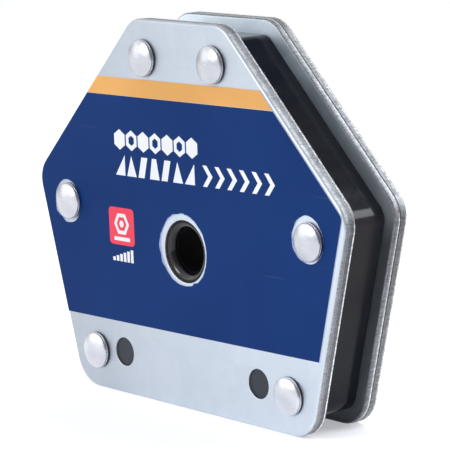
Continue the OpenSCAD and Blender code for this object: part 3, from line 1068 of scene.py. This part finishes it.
for i, (name, (x, z)) in enumerate(RIVET_PLACES.items()):
    # painted shade in each rivet's recesses, lighter at the left side rivet
    recess = rivet_shade_soft if name == "rivet_side_left" else rivet_painted_shade
    turned(name, x, z, rivet_profile(), [rivet_bright, recess], 72,
           wobble=0.02, seed=20 + i)

SLEEVE, CREST = range(2)    # the bushes' material slots
LEDGE = 0.09                # a narrow ledge where the flare meets the straight wall
LIP_ROUND = 0.30            # rounding of the lip's outer edge


def bush(name, inner_y, lip_y, sign):
    """Sleeve whose mouth flares to a lip. sign is -1 for the front and 1 for the rear."""
    flare = BUSH_R - BORE_R - LEDGE - LIP_ROUND
    flare_depth = flare + LEDGE
    ledge_y = lip_y - sign * flare_depth
    rows = [
        (BORE_R + 0.12, inner_y, 0, -sign, SLEEVE),
        (BORE_R, inner_y + sign * 0.12, -1, 0, SLEEVE),
        (BORE_R, ledge_y - sign * 0.12, -1, 0, SLEEVE),
        (BORE_R + 0.015, ledge_y - sign * 0.04, -0.75, sign * 0.66, SLEEVE),
        (BORE_R + 0.04, ledge_y - sign * 0.01, -0.1, sign, SLEEVE),
        (BORE_R + LEDGE - 0.015, ledge_y, -0.1, sign, SLEEVE),
    ]
    for k in range(21):
        angle = math.pi / 2 * k / 20
        normal = unit(np.array([-math.cos(angle) / flare, math.sin(angle) / flare_depth]))
        rows.append((BORE_R + LEDGE + flare - flare * math.cos(angle),
                     ledge_y + sign * flare_depth * math.sin(angle),
                     normal[0], sign * normal[1], SLEEVE if k < 17 else CREST))
    for k in range(1, 7):
        angle = math.pi / 2 * k / 6
        rows.append((BUSH_R - LIP_ROUND + LIP_ROUND * math.sin(angle),
                     lip_y - sign * LIP_ROUND + sign * LIP_ROUND * math.cos(angle),
                     math.sin(angle), sign * math.cos(angle), CREST))
    rows += [(BUSH_R, inner_y + sign * 0.10, 1, 0, SLEEVE),
             (BUSH_R - 0.10, inner_y, 0, -sign, SLEEVE)]
    if sign > 0:
        rows.reverse()
    turned(name, 0.0, 0.0, rows, [bush_plastic, bush_crest], 128)


front_lip, front_inner = depths("front_bore_bush")
rear_inner, rear_lip = depths("rear_bore_bush")
bush("front_bore_bush", front_inner, front_lip, -1)
bush("rear_bore_bush", rear_inner, rear_lip, 1)

# ---------------------------------------------------------------- moulded core frame
CORE_BODY, PEG_END, BORE_WALL = range(3)       # the core's material slots
CORE_INSETS = [3.4, 3.9, 3.9, 3.9, 3.4, 3.9]    # same side order as FILM_INSETS
CORE_RADII = [5.1, 5.0, 4.6, 4.6, 5.0, 5.1]     # same corner order as CORNERS
CORE_FRONT, CORE_BACK = REAR_POLE[0] - 13.0, REAR_POLE[0]
PEG_ROUND = 0.22
PEG_SUNK = 0.45          # how far the peg ends lie below the outer faces
MAGNET_CLEARANCE = 0.15


def magnet_outline(name):
    """Corners of a CAD magnet in XZ, anticlockwise, as a unique set of its vertices."""
    vertices = frame["nodes"][name].data.vertices
    corners = np.array([(vertex.co.x, vertex.co.z) for vertex in vertices]) / MM
    corners = np.unique(np.round(corners, 3), axis=0)
    middle = corners.mean(0)
    turn = np.arctan2(corners[:, 1] - middle[1], corners[:, 0] - middle[0])
    return corners[np.argsort(turn)]


def core_frame():
    core = MeshBuilder()
    fronts, backs = [], []

    def wall(points, normals, roll, hole=True, slot=CORE_BODY):
        facing = -normals if hole else normals
        rings = core.rounding(points, facing, CORE_FRONT, (roll, roll), 3)
        rings += core.rounding(points, facing, CORE_BACK, (roll, roll), 3, back=True)
        core.skin(rings, [slot] * len(rings), not hole)
        fronts.append(rings[0])
        backs.append(rings[-1])

    def peg(side, foot_y, back):
        points, normals = circle(side * PEG_X, PEG_Z, PEG_R, 72)
        sign = 1 if back else -1
        tip = (REAR if back else FRONT) - sign * PEG_SUNK
        rings = [core.ring(points, foot_y, normals, (1, 0)),
                 core.ring(points, tip - sign * PEG_ROUND, normals, (1, 0))]
        for k in range(1, 5):
            angle = math.pi / 2 * k / 4
            rings.append(core.ring(points - normals * PEG_ROUND * (1 - math.cos(angle)),
                                   tip - sign * PEG_ROUND * (1 - math.sin(angle)), normals,
                                   (math.cos(angle), sign * math.sin(angle))))
        rings.append(core.ring(points - normals * 1.6, tip, normals, (0.0, sign)))
        core.skin(rings, [CORE_BODY] + [PEG_END] * 5, back)
        core.fan(rings[-1], (side * PEG_X, PEG_Z), tip, sign, PEG_END)
        return rings[0]

    outline = rounded_outline(inset(CORNERS, CORE_INSETS), CORE_RADII, 12, 2.5)
    wall(*outline, roll=0.3, hole=False)
    wall(*circle(0, 0, BORE_R, 128), roll=0.12, slot=BORE_WALL)
    for x, z in RIVET_PLACES.values():
        wall(*circle(x, z, RIVET_HOLE_R, 36), roll=0.1)
    for side in (-1, 1):
        fronts.append(peg(side, CORE_FRONT, back=False))
        backs.append(peg(side, CORE_BACK, back=True))
    for name in MAGNETS:
        pocket = inset(magnet_outline(name), -MAGNET_CLEARANCE)
        wall(*rounded_outline(pocket, [0.25] * len(pocket), 3, 4), roll=0.1)
    core.fill(fronts, True)
    core.fill(backs, False)
    core.build("core_frame", [core_plastic, peg_plastic, bore_plastic])


core_frame()

# the ferrite blocks keep their CAD meshes
for name in MAGNETS:
    magnet = frame["nodes"][name]
    magnet.data.materials.clear()
    magnet.data.materials.append(magnet_ferrite)
    bevel = magnet.modifiers.new("worn_edges", "BEVEL")
    bevel.width = 0.0004
    bevel.segments = 2
    bevel.limit_method = "ANGLE"

# ---------------------------------------------------------------- stage (metres)
scene = bpy.context.scene


def studio_world():
    """A wide soft source at the front left and a dimmer room, darkest overhead at the back."""
    world = bpy.data.worlds.new("studio")
    scene.world = world
    world.use_nodes = True
    world.node_tree.nodes.clear()
    sky = Nodes(world.node_tree)
    output = sky.node("ShaderNodeOutputWorld")
    background = sky.node("ShaderNodeBackground")
    view = sky.node("ShaderNodeTexCoord").outputs["Generated"]
    sky.feed(output.inputs[0], background.outputs[0])

    def patch(way, span, amount):
        """Light that grows as the view nears a direction; span is of the cosine between them."""
        cosine = sky.measure("DOT_PRODUCT", view, Vector(way).normalized())
        return sky.maths("MULTIPLY", sky.remap(cosine, span=span, smooth=True), amount)

    key = patch((-0.52, -0.62, 0.58), span=(0.48, 0.92), amount=0.59)
    up_back = patch((0.18, 0.61, 0.77), span=(0.80, 0.95), amount=0.33)
    right = patch((1.0, -0.25, 0.10), span=(0.30, 0.85), amount=0.25)
    back_left = patch((-0.44, 0.89, 0.14), span=(0.80, 0.93), amount=0.25)
    room = sky.maths("SUBTRACT", sky.maths("SUBTRACT", 0.55, up_back), right)
    lighting = sky.maths("ADD", sky.maths("ADD", room, key), back_left)
    camera_ray = sky.node("ShaderNodeLightPath").outputs["Is Camera Ray"]
    # the camera itself sees plain white
    seen = sky.maths("MULTIPLY", camera_ray, 1.02)
    unseen = sky.maths("MULTIPLY", sky.maths("SUBTRACT", 1.0, camera_ray), lighting)
    sky.feed(background.inputs["Strength"], sky.maths("ADD", seen, unseen))
    background.inputs["Color"].default_value = (1, 1, 1, 1)


def floor_paper():
    """Paper that the camera sees evenly white; other rays find painted shade on it in two places,
    and a painted glow.
    """
    material = bpy.data.materials.new("floor_paper")
    material.use_nodes = True
    paper = Nodes(material.node_tree)
    inputs = material.node_tree.nodes["Principled BSDF"].inputs
    inputs["Roughness"].default_value = 0.7
    inputs["Specular IOR Level"].default_value = 0.1
    inputs["Emission Color"].default_value = (0.93, 0.94, 1, 1)
    place = paper.node("ShaderNodeNewGeometry").outputs["Position"]
    # painted shade seen only in reflections: dark round a point at the back right, and again far
    # off in that direction
    near = paper.measure("DISTANCE", place, (0.160, 0.073, BOTTOM * MM))
    near = paper.remap(near, span=(0.05, 0.14), to=(0.32, 0.95), smooth=True)
    far = paper.measure("DOT_PRODUCT", place, (0.60, 0.80, 0))
    far = paper.remap(far, span=(0.12, 0.24), to=(0.95, 0.30), smooth=True)
    shade = paper.maths("MINIMUM", near, far)
    camera_ray = paper.node("ShaderNodeLightPath").outputs["Is Camera Ray"]
    grey = paper.mix_float(camera_ray, shade, 0.93)
    colour = paper.node("ShaderNodeCombineColor")
    for channel in range(3):
        paper.feed(colour.inputs[channel], grey)
    paper.feed(inputs["Base Color"], colour.outputs[0])
    # painted glow for rays other than the camera's, weaker where the shade is painted
    glow = paper.remap(shade, span=(0.35, 0.95), to=(0.0, 0.35))
    paper.feed(inputs["Emission Strength"], paper.mix_float(camera_ray, glow, 0.42))
    return material


def add_floor():
    half, z = 6, BOTTOM * MM
    mesh = bpy.data.meshes.new("floor")
    mesh.from_pydata([(-half, -half, z), (half, -half, z), (half, half, z), (-half, half, z)],
                     [], [(0, 1, 2, 3)])
    mesh.materials.append(floor_paper())
    floor = bpy.data.objects.new("floor", mesh)
    scene.collection.objects.link(floor)


def area(name, place, size, power, colour=(1, 1, 1)):
    """An area light aimed at the origin and hidden from the camera."""
    light = bpy.data.lights.new(name, "AREA")
    light.shape = "RECTANGLE"
    light.size, light.size_y = size
    light.energy = power
    light.color = colour
    lamp = bpy.data.objects.new(name, light)
    lamp.location = place
    lamp.rotation_mode = "QUATERNION"
    lamp.rotation_quaternion = (Vector((0, 0, 0)) - Vector(place)).to_track_quat("-Z", "Y")
    scene.collection.objects.link(lamp)
    lamp.visible_camera = False


def add_camera(place, yaw, pitch, roll, lens):
    """A camera turned by angles in degrees; with none it looks along +Y."""
    yaw, pitch, roll = math.radians(yaw), math.radians(pitch), math.radians(roll)
    ahead = Vector((math.sin(yaw) * math.cos(pitch), math.cos(yaw) * math.cos(pitch),
                    math.sin(pitch)))
    level_right = ahead.cross(Vector((0, 0, 1))).normalized()
    level_up = level_right.cross(ahead)
    right = level_right * math.cos(roll) + level_up * math.sin(roll)
    up = level_up * math.cos(roll) - level_right * math.sin(roll)
    data = bpy.data.cameras.new("camera")
    data.sensor_width = 36
    data.lens = lens
    data.clip_start = 0.02
    data.clip_end = 20
    camera = bpy.data.objects.new("camera", data)
    scene.collection.objects.link(camera)
    rows = [(right[i], up[i], -ahead[i], place[i]) for i in range(3)]
    camera.matrix_world = Matrix((*rows, (0, 0, 0, 1)))
    scene.camera = camera


studio_world()
add_floor()
area("front_soft", (-0.34, -0.90, 0.38), size=(0.28, 0.26), power=1.65)
area("left_fill", (-0.80, -0.60, 0.20), size=(0.5, 0.35), power=0.30)
area("right_back_soft", (0.216, 0.218, 0.265), size=(0.14, 0.34), power=0.88,
     colour=(0.95, 0.97, 1.0))
area("left_back_soft", (-0.20, 0.45, 0.10), size=(0.25, 0.30), power=0.50)
add_camera((0.5073, -0.4171, 0.1240), yaw=-50.33, pitch=-10.24, roll=-2.23, lens=208.56)
scene.view_settings.view_transform = "Standard"
scene.view_settings.look = "None"
